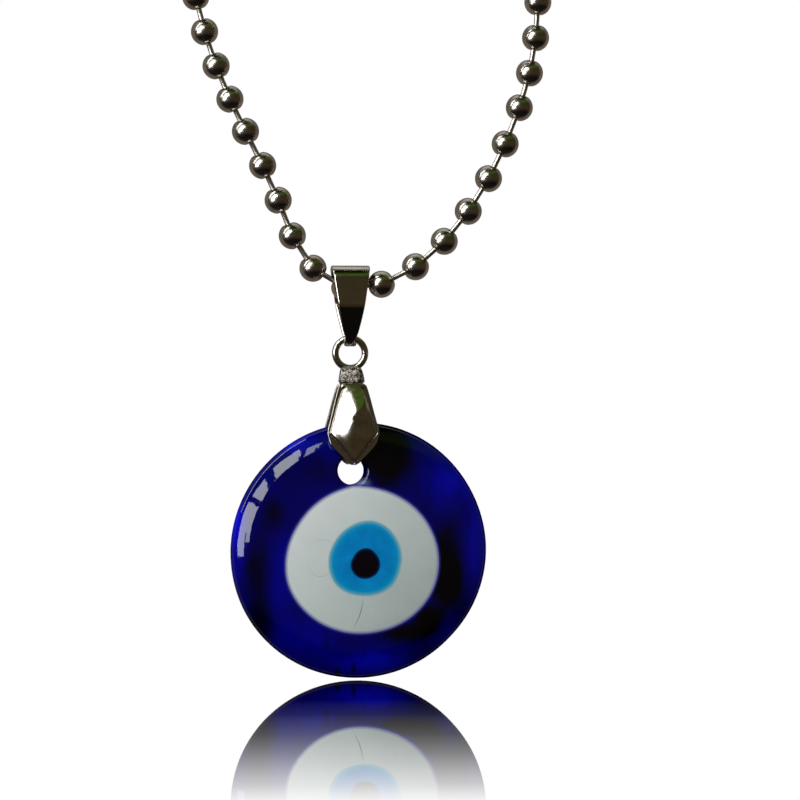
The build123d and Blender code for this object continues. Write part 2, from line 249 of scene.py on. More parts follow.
class Nodes:
    """Short names for the shader nodes that the materials are made of."""

    def __init__(self, tree):
        self.tree = tree

    def add(self, kind, inputs=None, **settings):
        node = self.tree.nodes.new("ShaderNode" + kind)
        for key, value in settings.items():
            setattr(node, key, value)
        for key, value in (inputs or {}).items():
            self.put(node.inputs[key], value)
        return node

    def put(self, socket, value):
        if isinstance(value, bpy.types.NodeSocket):
            self.tree.links.new(value, socket)
        else:
            socket.default_value = value

    def math(self, operation, a, b=0.0):
        return self.add("Math", {0: a, 1: b}, operation=operation).outputs[0]

    def vector(self, operation, a, b=(0, 0, 0), output="Vector"):
        return self.add("VectorMath", {0: a, 1: b}, operation=operation).outputs[output]

    def split(self, vector):
        return self.add("SeparateXYZ", {0: vector}).outputs

    def step(self, value, low, high, to_low=0.0, to_high=1.0):
        inputs = {"Value": value, "From Min": low, "From Max": high, "To Min": to_low, "To Max": to_high}
        return self.add("MapRange", inputs, interpolation_type="SMOOTHSTEP").outputs[0]

    def mix(self, factor, a, b):
        return self.add("Mix", {0: factor, 6: a, 7: b}, data_type="RGBA").outputs[2]

    def ramp(self, value, stops):
        node = self.add("ValToRGB", {0: value})
        elements = node.color_ramp.elements
        while len(elements) < len(stops):
            elements.new(0.5)
        for element, (place, colour) in zip(elements, stops):
            element.position = place
            element.color = (*colour, 1)
        return node.outputs[0]

    def noise(self, place, scale, detail=2.0, roughness=0.5, distortion=0.0):
        inputs = {"Vector": place, "Scale": scale, "Detail": detail, "Roughness": roughness}
        return self.add("TexNoise", {**inputs, "Distortion": distortion}).outputs[0]

    def bump(self, height, strength, distance):
        return self.add("Bump", {"Height": height, "Strength": strength, "Distance": distance}).outputs[0]

    def facing(self):
        return self.add("LayerWeight", {"Blend": 0.5}).outputs["Facing"]

    def attribute(self, name):
        return self.add("Attribute", attribute_name=name).outputs["Fac"]

    def glow(self, colour, strength=1.0):
        return self.add("Emission", {"Color": colour, "Strength": strength}).outputs[0]

    def surface(self, shader):
        self.put(self.tree.nodes["Material Output"].inputs["Surface"], shader)


def bare_material(name):
    material = bpy.data.materials.new(name)
    material.use_nodes = True
    return material, Nodes(material.node_tree)


def new_material(name):
    """A material, its node helper, its shader's inputs and the object coordinates in millimetres."""
    material, n = bare_material(name)
    skin = material.node_tree.nodes["Principled BSDF"].inputs
    place = n.add("VectorMath", {0: n.add("TexCoord").outputs["Object"], "Scale": 1 / MM}, operation="SCALE")
    return material, n, skin, place.outputs[0]


def nickel(name, colour, tarnish, roughness, spread, grain, grain_scale):
    """Nickel plate with a faint warm tarnish, uneven polish and fine tumbling marks."""
    material, n, skin, place = new_material(name)
    patches = n.noise(place, 0.55, 4.0, 0.6)
    fine = n.noise(place, grain_scale, 3.0, 0.7)
    n.put(skin["Base Color"], n.mix(n.step(patches, 0.42, 0.72), (*colour, 1), (*tarnish, 1)))
    skin["Metallic"].default_value = 1.0
    uneven = n.math("MULTIPLY", n.step(patches, 0.3, 0.8), spread)
    n.put(skin["Roughness"], n.math("ADD", uneven, roughness))
    n.put(skin["Normal"], n.bump(fine, grain, 0.00005))
    return material


NICKEL = (0.66, 0.62, 0.57)
WARM_NICKEL = (0.50, 0.43, 0.36)
bead_metal = nickel("bead_nickel_satin", (0.62, 0.58, 0.53), (0.47, 0.41, 0.35), 0.20, 0.05, 0.10, 9.0)
pin_metal = nickel("pin_nickel_drawn", (0.82, 0.79, 0.74), NICKEL, 0.26, 0.08, 0.20, 11.0)
bail_metal = nickel("bail_nickel_polished", NICKEL, (0.56, 0.50, 0.43), 0.09, 0.07, 0.10, 7.0)
clip_metal = nickel("clip_nickel_polished", (0.70, 0.67, 0.62), WARM_NICKEL, 0.12, 0.10, 0.18, 6.0)
clasp_metal = nickel("clasp_nickel", NICKEL, WARM_NICKEL, 0.22, 0.10, 0.20, 8.0)


def cast_nickel():
    """The neck's rough cast skin: pits and grains with dark hollows between them."""
    material, n, skin, place = new_material("neck_nickel_cast")
    grains = n.noise(place, 2.3, 5.0, 0.78, 0.8)
    pits = n.step(grains, 0.42, 0.56)
    n.put(skin["Base Color"], n.mix(pits, (0.05, 0.035, 0.022, 1), (0.78, 0.73, 0.66, 1)))
    skin["Metallic"].default_value = 1.0
    n.put(skin["Roughness"], n.step(grains, 0.35, 0.7, 0.38, 0.16))
    n.put(skin["Normal"], n.bump(grains, 0.9, 0.00022))
    return material


neck_metal = cast_nickel()


def blob(n, place, middle, size, amount):
    """A soft oval patch of amount at its middle, fading to nothing at its edge."""
    shifted = n.vector("SUBTRACT", place, (middle[0], 0, middle[1]))
    scaled = n.vector("MULTIPLY", shifted, (1 / size[0], 0, 1 / size[1]))
    return n.step(n.vector("LENGTH", scaled, output="Value"), 0.0, 1.0, amount, 0.0)


def glass_surface(n, skin, place):
    """The polished skin that all four colours share."""
    ripples = n.noise(place, 0.5, 2.0, 0.5)
    specks = n.noise(place, 6.0, 2.0, 0.6)
    n.put(skin["Roughness"], n.step(specks, 0.55, 0.8, 0.035, 0.11))
    n.put(skin["Normal"], n.bump(ripples, 0.12, 0.0002))
    skin["IOR"].default_value = 1.52
    n.put(skin["Specular IOR Level"], n.step(n.facing(), 0.35, 0.62, 0.5, 0.0))


# painted light and shade on the cobalt, bright where light would be caught deep in the glass and dark where
# it wouldn't: middle, size, amount
COBALT_PAINTED_LIGHT = [
    ((9.6, -90.6), (2.9, 7.2), -0.66),
    ((10.3, -92.6), (2.8, 4.4), -0.45),
    ((7.9, -97.1), (2.8, 2.6), -0.75),
    ((4.9, -98.5), (5.2, 1.7), -0.52),
    ((2.9, -77.4), (4.6, 6.0), -0.85),
    ((-12.4, -91.5), (2.6, 7.5), -0.34),
    ((-11.8, -97.6), (3.0, 4.2), -0.36),
    ((-10.6, -84.6), (2.4, 3.8), -0.30),
    ((-6.6, -79.4), (6.0, 3.0), -0.18),
    ((-9.4, -92.0), (2.6, 9.0), 0.30),
    ((-6.8, -99.0), (6.0, 4.0), 0.26),
    ((1.6, -102.2), (10.0, 2.8), 0.52),
    ((13.8, -88.5), (2.8, 13.0), 0.60),
    ((10.6, -80.6), (5.0, 5.4), 0.45),
    ((10.5, -99.0), (3.6, 3.6), 0.45),
    ((-14.6, -86.0), (1.6, 9.0), 0.50),
    ((-8.6, -76.4), (5.5, 2.2), 0.40),
    ((-2.9, -103.2), (0.55, 0.9), -0.5),
    ((-1.0, -102.8), (0.45, 1.1), -0.5),
    ((-4.2, -100.2), (0.5, 0.5), -0.2),
    ((3.3, -100.8), (0.5, 0.4), -0.15),
]


def cobalt():
    """Deep blue glass with painted light and shade: bright where light would be caught in it, nearly black
    where it wouldn't, and a painted glow below the hole.
    """
    material, n, skin, place = new_material("cobalt_glass")
    streaks = n.noise(n.vector("MULTIPLY", place, (0.55, 0.2, 0.22)), 1.0, 4.0, 0.6, 0.8)
    level = n.math("ADD", n.math("MULTIPLY", streaks, 0.42), 0.30)
    # add the painted light and shade patches to the blue's level
    for middle, size, amount in COBALT_PAINTED_LIGHT:
        level = n.math("ADD", level, blob(n, place, middle, size, amount))
    blue = n.ramp(level, [(0.0, (0.0, 0.0, 0.002)), (0.22, (0.0, 0.0, 0.022)), (0.50, (0.0, 0.0, 0.13)),
                          (0.78, (0.0, 0.0, 0.28)), (1.0, (0.002, 0.002, 0.60))])
    # painted glow: a pale haze of light just below and right of the hole's rim
    blue = n.mix(blob(n, place, (-0.35, -81.1), (1.7, 1.0), 0.85), blue, (0.20, 0.25, 0.44, 1))
    from_white = n.attribute("from_white")
    n.put(skin["Base Color"], n.mix(n.step(from_white, 0.0, 0.30), (0.035, 0.04, 0.36, 1), blue))
    glass_surface(n, skin, place)
    return material


def arc_line(n, place, start, middle, end, width, strength):
    """How much of a hairline lies here. The line is part of the circle through its three points."""
    (ax, az), (bx, bz), (cx, cz) = start, middle, end
    d = 2 * (ax * (bz - cz) + bx * (cz - az) + cx * (az - bz))
    a2 = ax * ax + az * az
    b2 = bx * bx + bz * bz
    c2 = cx * cx + cz * cz
    ux = (a2 * (bz - cz) + b2 * (cz - az) + c2 * (az - bz)) / d
    uz = (a2 * (cx - bx) + b2 * (ax - cx) + c2 * (bx - ax)) / d
    radius = hypot(ax - ux, az - uz)
    distance = n.vector("DISTANCE", n.vector("MULTIPLY", place, (1, 0, 1)), (ux, 0, uz), "Value")
    off = n.math("ABSOLUTE", n.math("SUBTRACT", distance, radius))
    near = n.step(off, width * 0.3, width, strength, 0.0)
    reach = hypot(cx - ax, cz - az) / 2
    centre = ((ax + cx) / 2, (az + cz) / 2)
    return n.math("MULTIPLY", near, blob(n, place, centre, (reach * 1.25, reach * 1.25), 1.6))


HAIRLINES = [    # start, middle and end of each fine crack or fold in the white, its width and strength
    ((0.03, -94.3), (-0.30, -96.2), (-1.15, -98.0), 0.075, 0.55),
    ((-3.6, -88.0), (-6.7, -89.2), (-5.9, -91.3), 0.060, 0.22),
    ((-6.3, -91.0), (-4.7, -91.9), (-3.5, -90.9), 0.065, 0.34),
    ((-3.3, -88.2), (-4.7, -87.6), (-6.1, -88.2), 0.055, 0.16),
]


def white():
    """Milky glass with painted shade, as if lit from the upper left: a little darker and greyer to the lower
    right, with fine hairlines.
    """
    material, n, skin, place = new_material("white_glass")
    split = n.split(place)
    # painted shade: the white darkens towards the right and towards the bottom
    across = n.math("MULTIPLY", n.math("SUBTRACT", split["X"], 0.3), -0.034)
    up = n.math("MULTIPLY", n.math("ADD", split["Z"], 90.4), 0.030)
    clouds = n.math("MULTIPLY", n.noise(place, 0.35, 3.0, 0.6), 0.25)
    level = n.math("ADD", n.math("ADD", across, up), n.math("ADD", clouds, 0.42))
    milk = n.ramp(level, [(0.0, (0.48, 0.56, 0.56)), (0.5, (0.70, 0.79, 0.78)), (1.0, (0.92, 0.99, 1.0))])
    for start, middle, end, width, strength in HAIRLINES:
        milk = n.mix(arc_line(n, place, start, middle, end, width, strength), milk, (0.16, 0.17, 0.20, 1))
    milk = n.mix(n.step(n.attribute("to_outer"), 0.0, 0.42, 0.0, 1.0), (0.22, 0.24, 0.52, 1), milk)
    milk = n.mix(n.step(n.attribute("to_inner"), 0.0, 0.30, 0.0, 1.0), (0.22, 0.52, 0.66, 1), milk)
    n.put(skin["Base Color"], milk)
    skin["Subsurface Weight"].default_value = 0.15
    skin["Subsurface Radius"].default_value = (0.0006, 0.0006, 0.0008)
    glass_surface(n, skin, place)
    return material


def light_blue():
    """Turquoise glass, paler where it thins out over the white."""
    material, n, skin, place = new_material("light_blue_glass")
    clouds = n.noise(place, 0.6, 3.0, 0.55, 0.4)
    blue = n.ramp(clouds, [(0.3, (0.0, 0.24, 0.66)), (0.7, (0.0, 0.34, 0.84))])
    rim = n.mix(n.step(n.attribute("to_outer"), 0.0, 0.40), (0.10, 0.52, 0.78, 1), (0.0, 0.38, 0.76, 1))
    blue = n.mix(n.step(n.attribute("to_outer"), 0.1, 1.1), rim, blue)
    by_pupil = n.step(n.attribute("to_inner"), 0.0, 0.22)
    n.put(skin["Base Color"], n.mix(by_pupil, (0.0, 0.02, 0.11, 1), blue))
    glass_surface(n, skin, place)
    return material


def black():
    """Black glass with a blue bloom at its edge."""
    material, n, skin, place = new_material("black_glass")
    clouds = n.noise(place, 0.9, 3.0, 0.6)
    dark = n.ramp(clouds, [(0.35, (0.001, 0.001, 0.002)), (0.75, (0.003, 0.001, 0.010))])
    by_edge = n.step(n.attribute("to_outer"), 0.0, 0.25)
    n.put(skin["Base Color"], n.mix(by_edge, (0.0, 0.012, 0.07, 1), dark))
    glass_surface(n, skin, place)
    return material


cobalt_material = cobalt()
white_material = white()
light_blue_material = light_blue()
black_material = black()


# ---- chain ----

def shells(node):
    """The vertices of each separate face of a CAD node's mesh, in millimetres."""
    mesh = nodes[node].data
    points = np.zeros(len(mesh.vertices) * 3)
    mesh.vertices.foreach_get("co", points)
    points = points.reshape(-1, 3) / MM
    edges = np.zeros(len(mesh.edges) * 2, int)
    mesh.edges.foreach_get("vertices", edges)
    a, b = edges.reshape(-1, 2).T
    label = np.arange(len(points))
    while True:
        lowest = np.minimum(label[a], label[b])
        updated = label.copy()
        np.minimum.at(updated, a, lowest)
        np.minimum.at(updated, b, lowest)
        updated = updated[updated]
        if (updated == label).all():
            break
        label = updated
    return [points[label == k] for k in np.unique(label)]


def bead_centres(node):
    """The middle of each bead in a node, from the ball that fits its outer skin."""
    centres = []
    for points in shells(node):
        if len(points) < 30:
            continue
        system = np.c_[2 * points, np.ones(len(points))]
        found = np.linalg.lstsq(system, (points**2).sum(1), rcond=None)[0]
        centre = found[:3]
        radius = sqrt(max(found[3] + centre @ centre, 0))
        known = any(np.linalg.norm(centre - c) < 0.5 for c in centres)
        if abs(radius - BEAD_R) < 0.04 and not known:
            centres.append(centre)
    return [Vector(c) for c in centres]


# the whole chain in order: up the left strand, round the peg and down the right strand
peg_axis = next(-Vector(j["axis"]) for j in frame["joints"] if j["name"] == "clasp_open")
wound = [(c, "wound_beads") for c in bead_centres("wound_beads")]
wound += [(c, "clasp_end_beads") for c in bead_centres("clasp_end_beads")]
wound.sort(key=lambda item: item[0] @ peg_axis)
upper = sorted(bead_centres("upper_strand_beads"), key=lambda c: c.z)
chain = [(bead_centres("bail_bead")[0], "bail_bead")]
for number in range(1, LEFT_COUNT + 1):
    node = f"left_bead_{number:02d}"
    chain.append((bead_centres(node)[0], node))
chain += [(c, "upper_strand_beads") for c in upper if c.x < 0]
chain += wound
chain += [(c, "upper_strand_beads") for c in reversed(upper) if c.x > 0]
for number in range(RIGHT_COUNT, 0, -1):
    node = f"right_bead_{number:02d}"
    chain.append((bead_centres(node)[0], node))
count = len(chain)


def hung(place, node):
    """The strands hang a little lower on the left and wider on the right than the even chain of the frame."""
    if node in ("wound_beads", "clasp_end_beads"):
        return place
    back = 1 - smoothstep(place.z, -20, -6)
    if place.x < 0:
        return place + Vector((0, 0, -LEFT_SAG)) * smoothstep(place.z, -54, -36) * back
    wider = RIGHT_SPREAD * smoothstep(place.z, -42, -31) * back
    return place + Vector((max(min(wider, STRAND_REACH - place.x), 0), 0, 0))


centre = [hung(c, node) for c, node in chain]


def bead_profile():
    """Half of a bead's outline, from the lip of one hole to the other."""
    lip_r, lip_z = BEAD_MOUTH[-1]
    start = atan2(lip_r, lip_z) + 0.06
    steps = 26
    arc = []
    for s in range(steps + 1):
        angle = start + (pi - 2 * start) * s / steps
        arc.append((BEAD_R * sin(angle), BEAD_R * cos(angle)))
    return BEAD_MOUTH + arc + [(r, -z) for r, z in reversed(BEAD_MOUTH)]


def bead_mesh(i, segments):
    """A hollow bead, bent a little so that its two holes face its neighbours' pins."""
    before = (centre[i - 1] - centre[i]).normalized()
    after = (centre[(i + 1) % count] - centre[i]).normalized()
    points, faces = lathe(bead_profile(), segments)
    side = before.cross(after)
    if side.length < 1e-4:
        side = before.cross(Vector((0, 1, 0)))
    side.normalize()
    spin = Matrix.Rotation(2.4 * i, 3, "Z")
    turned = Matrix((side.cross(before), side, before)).transposed()
    bend = pi - before.angle(after)
    placed = []
    for p in points:
        p = turned @ (spin @ p)
        share = smoothstep(-(p @ before) / BEAD_R, -0.35, 0.65)
        placed.append(centre[i] + Matrix.Rotation(-bend * share, 3, side) @ p)
    return placed, faces


def pin_profile(span):
    """A pin's outline: a domed head in each bead and a shank drawn in from them."""
    steps = 10
    half = []
    for s in range(steps + 1):
        angle = pi * 0.80 * s / steps
        half.append((PIN_HEAD_R * sin(angle), PIN_HEAD_IN - PIN_HEAD_R * cos(angle)))
    last_z = half[-1][1]
    half += [(PIN_R + 0.02, last_z + 0.06), (PIN_R, last_z + 0.16), (PIN_R - 0.012, span / 2)]
    return half + [(r, span - z) for r, z in reversed(half[:-1])]


def pin_mesh(i, segments):
    start = centre[i]
    end = centre[(i + 1) % count]
    points, faces = lathe(pin_profile((end - start).length), segments)
    turn = (end - start).to_track_quat("Z", "Y")
    return [start + turn @ p for p in points], faces


def gathered(meshes):
    """Several meshes as one list of points and faces."""
    points = []
    faces = []
    for new_points, new_faces in meshes:
        base = len(points)
        points += new_points
        faces += [tuple(base + v for v in f) for f in new_faces]
    return points, faces


def pin_node(i):
    """The node of the pin between bead i and the next one, or None inside the clasp."""
    ends = {chain[i][1], chain[(i + 1) % count][1]}
    if ends == {"clasp_end_beads"}:
        return None
    if i <= LEFT_COUNT:
        return f"left_pin_{i + 1:02d}"
    if i >= count - RIGHT_COUNT - 1:
        return f"right_pin_{count - i:02d}"
    return "upper_strand_pins" if "upper_strand_beads" in ends else "wound_pins"


def build_chain(prefix, node_of, mesh_of, fine, coarse, metal):
    """The beads or the pins, one piece for each node. The visible ones are turned more finely."""
    members = {}
    for i in range(count):
        members.setdefault(node_of(i), []).append(i)
    members.pop(None, None)
    for node, numbers in members.items():
        segments = fine if len(numbers) == 1 else coarse
        points, faces = gathered([mesh_of(i, segments) for i in numbers])
        piece(prefix + node, points, faces, metal, node)


build_chain("turned_", lambda i: chain[i][1], bead_mesh, 48, 28, bead_metal)
build_chain("drawn_", pin_node, pin_mesh, 24, 14, pin_metal)
nodes["clasp"].data.materials.clear()
nodes["clasp"].data.materials.append(clasp_metal)


# ---- bail ----

def bail_path():
    """The strip's middle line in side view, from its front end over the chain to its back end."""
    half = []
    steps = 400
    for s in range(steps + 1):
        angle = radians(-90 + 180 * s / steps)
        reach = [z * sin(angle) + r + BAIL_THICKNESS / 2 for z, r in BAIL_CIRCLES]
        z, r = BAIL_CIRCLES[int(np.argmax(reach))]
        r += BAIL_THICKNESS / 2
        half.append((-r * cos(angle), z + r * sin(angle)))
    line = np.array(half + [(-y, z) for y, z in reversed(half[:-1])])
    lengths = np.r_[0, np.cumsum(np.hypot(*np.diff(line, axis=0).T))]
    ends = BAIL_SLIT / 2
    places = np.linspace(ends, lengths[-1] - ends, 260)
    return np.c_[np.interp(places, lengths, line[:, 0]), np.interp(places, lengths, line[:, 1])], places


def rounded_strip(half_width, half_thickness):
    """Cross-section of the strip: flat faces with rolled edges."""
    flat = half_width - half_thickness
    half = [(-flat + flat * 2 * s / 6, half_thickness) for s in range(7)]
    for s in range(1, 6):
        angle = pi / 2 - pi * s / 6
        half.append((flat + half_thickness * cos(angle), half_thickness * sin(angle)))
    return half + [(-across, -out) for across, out in half]


def build_bail():
    line, places = bail_path()
    tangents = np.gradient(line, axis=0)
    tangents /= np.linalg.norm(tangents, axis=1)[:, None]
    total = places[-1]
    points = []
    size = 0
    for (y, z), (ty, tz), s in zip(line, tangents, places):
        to_end = min(s, total - s)
        half_width = interpolated([(-k, w) for k, w in BAIL_WIDTHS], -z)
        if to_end < BAIL_TIP:
            half_width *= sqrt(max(1 - ((BAIL_TIP - to_end) / BAIL_TIP) ** 2, 0.03))
        front = -1 if s < total / 2 else 1
        aside = BAIL_OFFSET * front * (1 - smoothstep(to_end, 0.2, 1.5))
        section = rounded_strip(half_width, min(BAIL_THICKNESS / 2, half_width * 0.9))
        size = len(section)
        for across, out in section:
            points.append((PENDANT_X + across + aside, y - tz * out, z + ty * out))
    rows = len(line)
    faces = rows_to_faces(rows, size)
    faces.append(tuple(range(size)))
    faces.append(tuple(reversed(range((rows - 1) * size, rows * size))))
    piece("folded_bail", points, faces, bail_metal, "bail")


build_bail()


# ---- ring and clip ----

def build_ring():
    """The cast ring, a little uneven where it was cut from its sprue."""
    around = 120
    wire = 20
    points = []
    for a in range(around):
        angle = 2 * pi * a / around
        seam = 0.03 * exp(-((angle - 2.2) / 0.16) ** 2)
        for w in range(wire):
            turn = 2 * pi * w / wire
            r = RING_WIRE_R * (0.985 + 0.015 * cos(2 * turn)) - seam
            reach = RING_R + r * cos(turn)
            x = PENDANT_X + reach * cos(angle)
            points.append((x, r * sin(turn), RING_Z + reach * sin(angle)))
    faces = [(b, a, d, c) for a, b, c, d in rows_to_faces(around, wire)]
    last = (around - 1) * wire
    faces += [(last + (w + 1) % wire, (w + 1) % wire, w, last + w) for w in range(wire)]
    piece("cast_ring", points, faces, clip_metal, "ring")


build_ring()


def build_neck():
    """The cast lump between ring and leaves, pitted and uneven, with a groove where the ring passes."""
    around = 72
    points = []
    for z, half_width, half_depth, lean in NECK_SECTIONS:
        for a in range(around):
            angle = 2 * pi * a / around
            c = cos(angle)
            s = sin(angle)
            square = (abs(c) ** 3.2 + abs(s) ** 3.2) ** (-1 / 3.2)
            x = CLIP_X + half_width * c * square - lean
            y = half_depth * s * square
            rough = noise.noise(Vector((x, y, z)) * 2.6) * 0.07
            points.append((x - rough * c, y - rough * s, z))
    rows = len(NECK_SECTIONS)
    faces = [tuple(reversed(f)) for f in rows_to_faces(rows, around)]
    faces.append(tuple(range(around)))
    faces.append(tuple(reversed(range((rows - 1) * around, rows * around))))
    for k, (x, y, z) in enumerate(points):
        from_line = hypot(hypot(x - PENDANT_X, z - RING_Z) - RING_R, y)
        if from_line < RING_WIRE_R + 0.02:
            points[k] = (x, y, z - (RING_WIRE_R + 0.02 - from_line))
    obj = piece("cast_neck", points, faces, neck_metal, "clip_neck")
    subdivide = obj.modifiers.new("smooth", "SUBSURF")
    subdivide.levels = 1
    subdivide.render_levels = 1


build_neck()


def soft_min(values, softness):
    """The least of several heights, with the creases between them rounded."""
    low = min(values)
    return low - softness * log(sum(exp(-(v - low) / softness) for v in values))


def to_line(x, d, start, end):
    """Distance from a line through two points of the leaf, positive on the right of start to end."""
    (ax, ad), (bx, bd) = start, end
    length = hypot(bx - ax, bd - ad)
    return ((x - ax) * (bd - ad) - (d - ad) * (bx - ax)) / length


def leaf_height(x, d):
    """How far the leaf's outer face stands off its mid-plane at x across and d down."""
    left = to_line(x, d, (-1.42, 0.8), (-2.75, 5.5))
    right = -to_line(x, d, (1.42, 0.8), (2.75, 5.5))
    low_left = to_line(x, d, (-2.80, 5.45), (0.03, 9.0))
    low_right = -to_line(x, d, (2.80, 5.45), (0.07, 9.0))
    if d < 1.3:
        arch = 1.45 - hypot(x, 1.3 - d)
    else:
        arch = 1.45 - abs(x) + 3 * (d - 1.3)
    inside = min(left, right, low_left, low_right, arch)
    groove = 0.05 * exp(-(inside / 0.07) ** 2)
    rounding = sqrt(max(1 - max(-d / 0.36, 0) ** 2, 0.04))
    if inside < 0:
        return (LEAF_THICKNESS / 2 - groove) * rounding
    steep = 1.60 - 1.08 * smoothstep(d, 1.6, 4.2)
    facets = [0.50 * left, steep * right, 0.31 * (d + 0.15) - 0.03 * x * x, 0.46 * low_left + 0.24,
              0.46 * low_right + 0.18, 1.6 * arch]
    puff = soft_min(facets, 0.12 + 0.10 * smoothstep(inside, 0.1, 0.8)) + 0.08
    wall = 0.16 * smoothstep(inside, 0.0, 0.10)
    return LEAF_THICKNESS / 2 - groove + wall + max(puff, 0.0)


def build_leaf(side, node):
    """One leaf: flange, puffed shell, rolled knuckle and prong."""
    slope = atan2(LEAF_TIP_Y - HINGE_Y, HINGE_Z - LEAF_TIP_Z)
    down = Vector((0, side * sin(slope), -cos(slope)))
    outwards = Vector((0, side * cos(slope), sin(slope)))
    origin = Vector((CLIP_X, side * HINGE_Y, HINGE_Z))
    rows = 150
    columns = 96
    first = LEAF_WIDTHS[0][0]
    last = LEAF_WIDTHS[-1][0]
    half = LEAF_THICKNESS / 2
    points = []
    for r in range(rows + 1):
        d = first + (last - first) * r / rows
        width = interpolated(LEAF_WIDTHS, d)
        row = []
        for c in range(columns + 1):
            u = -1 + 2 * c / columns
            x = width * sin(u * pi / 2) * 0.35 + width * u * 0.65
            row.append((x, leaf_height(x, d)))
        edge = []
        for s in range(1, 6):
            angle = pi / 2 - pi * s / 6
            edge.append((width + 0.10 * cos(angle) - 0.02, half * sin(angle)))
        under = [(width * (1 - 2 * c / 12), -half) for c in range(13)]
        other = [(-x, h) for x, h in reversed(edge)]
        section = row + edge + under + other
        ring = len(section)
        for x, h in section:
            points.append(origin + Vector((x, 0, 0)) + down * d + outwards * h)
    faces = rows_to_faces(rows + 1, ring)
    faces.append(tuple(reversed(range(ring))))
    faces.append(tuple(range(rows * ring, (rows + 1) * ring)))
    if side > 0:
        faces = [tuple(reversed(f)) for f in faces]
    roll_points, roll_faces = lathe(ROLL_PROFILE, 24)
    roll_points = [origin + Vector((p.z, p.y, p.x)) for p in roll_points]
    root = LEAF_TIP_Y - PRONG_END - 0.25
    prong = [(0.0, 0.0), (0.28, 0.0), (0.40, 0.05), (PRONG_R, 0.16), (PRONG_R, root), (0.0, root)]
    prong_points, prong_faces = lathe(prong, 28)
    prong_points = [Vector((CLIP_X + p.x, side * (PRONG_END + p.z), PRONG_Z + p.y)) for p in prong_points]
    points, faces = gathered([(points, faces), (roll_points, roll_faces), (prong_points, prong_faces)])
    piece(node.replace("clip", "puffed"), points, faces, clip_metal, node)


build_leaf(-1, "clip_front_leaf")
build_leaf(1, "clip_back_leaf")


# ---- glass ----

def face_profile():
    """(radius, y) of the domed face, from its middle out to where the rim starts."""
    rows = []
    y = FACE_Y
    r = 0.0
    step = 0.02
    while r < FACE_LEAN[-1][0] - 1e-9:
        rows.append((r, y))
        y += tan(radians(interpolated(FACE_LEAN, r + step / 2))) * step
        r += step
    rows.append((r, y))
    return rows


FACE_TABLE = face_profile()
FACE_RS = [r for r, _ in FACE_TABLE]
FACE_YS = [y for _, y in FACE_TABLE]
FACE_END_R, FACE_END_Y = FACE_TABLE[-1]


def outline_radius(outline, x, z, middle):
    angle = degrees(atan2(z - middle[1], x - middle[0]))
    return interpolated(outline, angle, 360)


def from_hole(x, z):
    return hypot(x - HOLE[0], z - HOLE[1]) - HOLE[2]


def face_y(x, z):
    """The glass's front surface, with the rounding at its hole."""
    scale = outline_radius(DISC_OUTLINE, x, z, DISC) / DISC[2]
    r = hypot(x - DISC[0], z - DISC[1]) / scale
    y = float(np.interp(r, FACE_RS, FACE_YS))
    y += 0.012 * noise.noise(Vector((x * 0.35, 0, z * 0.35)))
    if from_hole(x, z) < HOLE_ROUNDING:
        rest = HOLE_ROUNDING - max(from_hole(x, z), 0)
        y += HOLE_ROUNDING - sqrt(max(HOLE_ROUNDING**2 - rest**2, 0))
    return y


def polar(middle, r, angle):
    turn = radians(angle)
    return middle[0] + r * cos(turn), middle[1] + r * sin(turn)


def loop(outline, middle, samples, grow=0.0):
    """Points (x, z) round a given outline."""
    angles = [360 * s / samples for s in range(samples)]
    return [polar(middle, interpolated(outline, a, 360) + grow, a) for a in angles]


def disc_ring(r, samples):
    """Points (x, z) round the disc's outline, drawn in to radius r."""
    angles = [360 * s / samples for s in range(samples)]
    return [polar(DISC, interpolated(DISC_OUTLINE, a, 360) * r / DISC[2], a) for a in angles]


def circle(x, z, r, samples):
    turns = [2 * pi * s / samples for s in range(samples)]
    return [(x + r * cos(t), z + r * sin(t)) for t in turns]


def filled(boundaries, inner_points, keep):
    """Triangles over flat points, with every boundary loop kept as edges."""
    flat = []
    edges = []
    for boundary in boundaries:
        base = len(flat)
        flat += boundary
        edges += [(base + k, base + (k + 1) % len(boundary)) for k in range(len(boundary))]
    flat += inner_points
    found, _, triangles, origin, _, _ = delaunay_2d_cdt([Vector(p) for p in flat], edges, [], 0, 1e-7)
    index = {}
    for new, old in enumerate(origin):
        for o in old:
            index[o] = new
    kept = []
    for triangle in triangles:
        x = sum(found[k].x for k in triangle) / 3
        z = sum(found[k].y for k in triangle) / 3
        if keep(x, z):
            kept.append(tuple(triangle))
    return [(p.x, p.y) for p in found], kept, index


def facing_y(points, faces, sign):
    """The flat-filled faces, turned so that they look towards +Y or -Y."""
    a, b, c = (Vector(points[k]) for k in faces[0])
    if (b - a).cross(c - a).y * sign > 0:
        return faces
    return [tuple(reversed(f)) for f in faces]


def rim_profile():
    """(radius, y) from the end of the domed face, round the rim, to the flat back."""
    steps = 12
    out = DISC[2]
    shoulder_y = FACE_END_Y + 0.62
    side_y = 0.30
    arc_y = 0.12
    rows = []
    for s in range(1, steps + 1):
        t = s / steps
        r = (1 - t) ** 2 * FACE_END_R + 2 * t * (1 - t) * out + t * t * out
        y = (1 - t) ** 2 * FACE_END_Y + 2 * t * (1 - t) * shoulder_y + t * t * side_y
        rows.append((r, y))
    for s in range(1, steps + 1):
        angle = radians(6 + 84 * s / steps)
        r = BACK_EDGE_R + (out - BACK_EDGE_R) * cos(angle)
        rows.append((r, arc_y + (BACK_Y - arc_y) * sin(angle)))
    return rows


